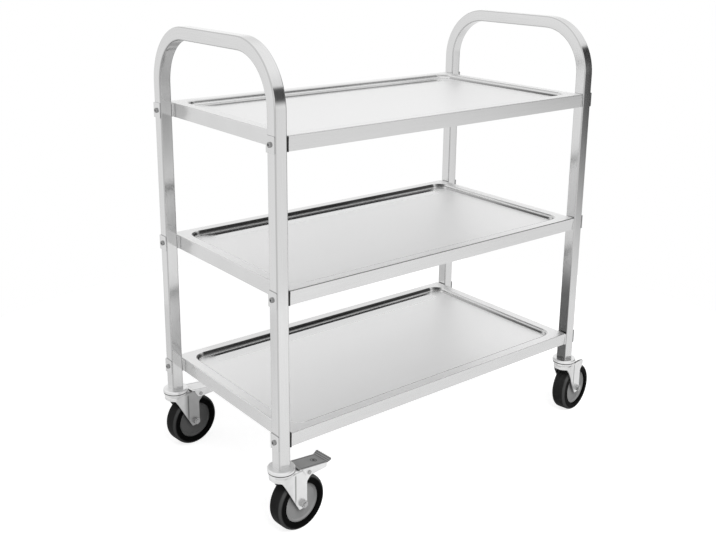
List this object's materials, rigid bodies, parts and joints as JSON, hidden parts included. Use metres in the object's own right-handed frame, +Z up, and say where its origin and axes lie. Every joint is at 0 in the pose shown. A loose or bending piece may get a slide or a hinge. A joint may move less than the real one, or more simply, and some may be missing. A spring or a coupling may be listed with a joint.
{
  "type": "three-tier serving cart",
  "caption": "Stainless serving cart with pressed trays bolted between two bent tube end frames whose top bars are push handles, on swivel casters, some with brake pedals.",
  "frame": {"origin": "on the floor, midway between the four legs", "axes": "+X along the cart from the braked end to the free end, +Y from front to back, +Z up"},
  "size_m": [0.9074, 0.4615, 0.913],
  "materials": {
    "frame_tube": "fine brushed stainless tube",
    "tray_sheet": "bright satin stainless sheet",
    "clamp_plate": "satin stainless plate",
    "fastener": "bright zinc-plated steel",
    "black_pad": "black moulded plastic",
    "leg_plug": "black moulded plastic",
    "race_cap": "bright zinc-plated pressed steel",
    "bearing_ball": "polished steel",
    "caster_fork": "bright zinc-plated stamped steel",
    "brake_pedal": "zinc-plated stamped steel",
    "wheel_hub": "grey moulded plastic",
    "tyre": "black rubber"
  },
  "bodies": {
    "frame": {"left_end_frame": "frame_tube", "right_end_frame": "frame_tube", "bottom_tray": "tray_sheet", "bottom_tray_pads": "black_pad", "bottom_tray_clamp_plates": "clamp_plate", "bottom_tray_bolts": "fastener", "bottom_tray_nuts": "fastener", "middle_tray": "tray_sheet", "middle_tray_pads": "black_pad", "middle_tray_clamp_plates": "clamp_plate", "middle_tray_bolts": "fastener", "middle_tray_nuts": "fastener", "top_tray": "tray_sheet", "top_tray_pads": "black_pad", "top_tray_clamp_plates": "clamp_plate", "top_tray_bolts": "fastener", "top_tray_nuts": "fastener", "plug_front_left": "leg_plug", "stem_front_left": "race_cap", "race_balls_front_left": "bearing_ball", "plug_back_left": "leg_plug", "stem_back_left": "race_cap", "race_balls_back_left": "bearing_ball", "plug_front_right": "leg_plug", "stem_front_right": "race_cap", "race_balls_front_right": "bearing_ball", "plug_back_right": "leg_plug", "stem_back_right": "race_cap", "race_balls_back_right": "bearing_ball"},
    "pedal_front_left": {"pedal_front_left": "brake_pedal"},
    "swivel_front_left": {"fork_front_left": "caster_fork", "axle_front_left": "fastener", "axle_nut_front_left": "fastener", "axle_sleeve_front_left": "fastener", "pedal_pin_front_left": "fastener"},
    "wheel_front_left": {"hub_front_left": "wheel_hub", "tyre_front_left": "tyre"},
    "pedal_back_left": {"pedal_back_left": "brake_pedal"},
    "swivel_back_left": {"fork_back_left": "caster_fork", "axle_back_left": "fastener", "axle_nut_back_left": "fastener", "axle_sleeve_back_left": "fastener", "pedal_pin_back_left": "fastener"},
    "wheel_back_left": {"hub_back_left": "wheel_hub", "tyre_back_left": "tyre"},
    "swivel_front_right": {"fork_front_right": "caster_fork", "axle_front_right": "fastener", "axle_nut_front_right": "fastener", "axle_sleeve_front_right": "fastener"},
    "wheel_front_right": {"hub_front_right": "wheel_hub", "tyre_front_right": "tyre"},
    "swivel_back_right": {"fork_back_right": "caster_fork", "axle_back_right": "fastener", "axle_nut_back_right": "fastener", "axle_sleeve_back_right": "fastener"},
    "wheel_back_right": {"hub_back_right": "wheel_hub", "tyre_back_right": "tyre"}
  },
  "joints": [
    {"name": "swivel_front_left", "type": "hinge", "parent": "frame", "child": "swivel_front_left", "pos_m": [-0.395, -0.2025, 0.139], "axis": [0, 0, 1], "continuous": true},
    {"name": "spin_front_left", "type": "hinge", "parent": "swivel_front_left", "child": "wheel_front_left", "pos_m": [-0.35864, -0.19932, 0.055], "axis": [-0.0872, 0.9962, 0], "continuous": true},
    {"name": "brake_front_left", "type": "hinge", "parent": "swivel_front_left", "child": "pedal_front_left", "pos_m": [-0.34469, -0.1981, 0.1152], "axis": [-0.0872, 0.9962, 0], "range_deg": [0, 13]},
    {"name": "swivel_back_left", "type": "hinge", "parent": "frame", "child": "swivel_back_left", "pos_m": [-0.395, 0.2025, 0.139], "axis": [0, 0, 1], "continuous": true},
    {"name": "spin_back_left", "type": "hinge", "parent": "swivel_back_left", "child": "wheel_back_left", "pos_m": [-0.35864, 0.20568, 0.055], "axis": [-0.0872, 0.9962, 0], "continuous": true},
    {"name": "brake_back_left", "type": "hinge", "parent": "swivel_back_left", "child": "pedal_back_left", "pos_m": [-0.34469, 0.2069, 0.1152], "axis": [-0.0872, 0.9962, 0], "range_deg": [0, 13]},
    {"name": "swivel_front_right", "type": "hinge", "parent": "frame", "child": "swivel_front_right", "pos_m": [0.395, -0.2025, 0.139], "axis": [0, 0, 1], "continuous": true},
    {"name": "spin_front_right", "type": "hinge", "parent": "swivel_front_right", "child": "wheel_front_right", "pos_m": [0.43105, -0.19679, 0.055], "axis": [-0.1564, 0.9877, 0], "continuous": true},
    {"name": "swivel_back_right", "type": "hinge", "parent": "frame", "child": "swivel_back_right", "pos_m": [0.395, 0.2025, 0.139], "axis": [0, 0, 1], "continuous": true},
    {"name": "spin_back_right", "type": "hinge", "parent": "swivel_back_right", "child": "wheel_back_right", "pos_m": [0.43105, 0.20821, 0.055], "axis": [-0.1564, 0.9877, 0], "continuous": true}
  ]
}
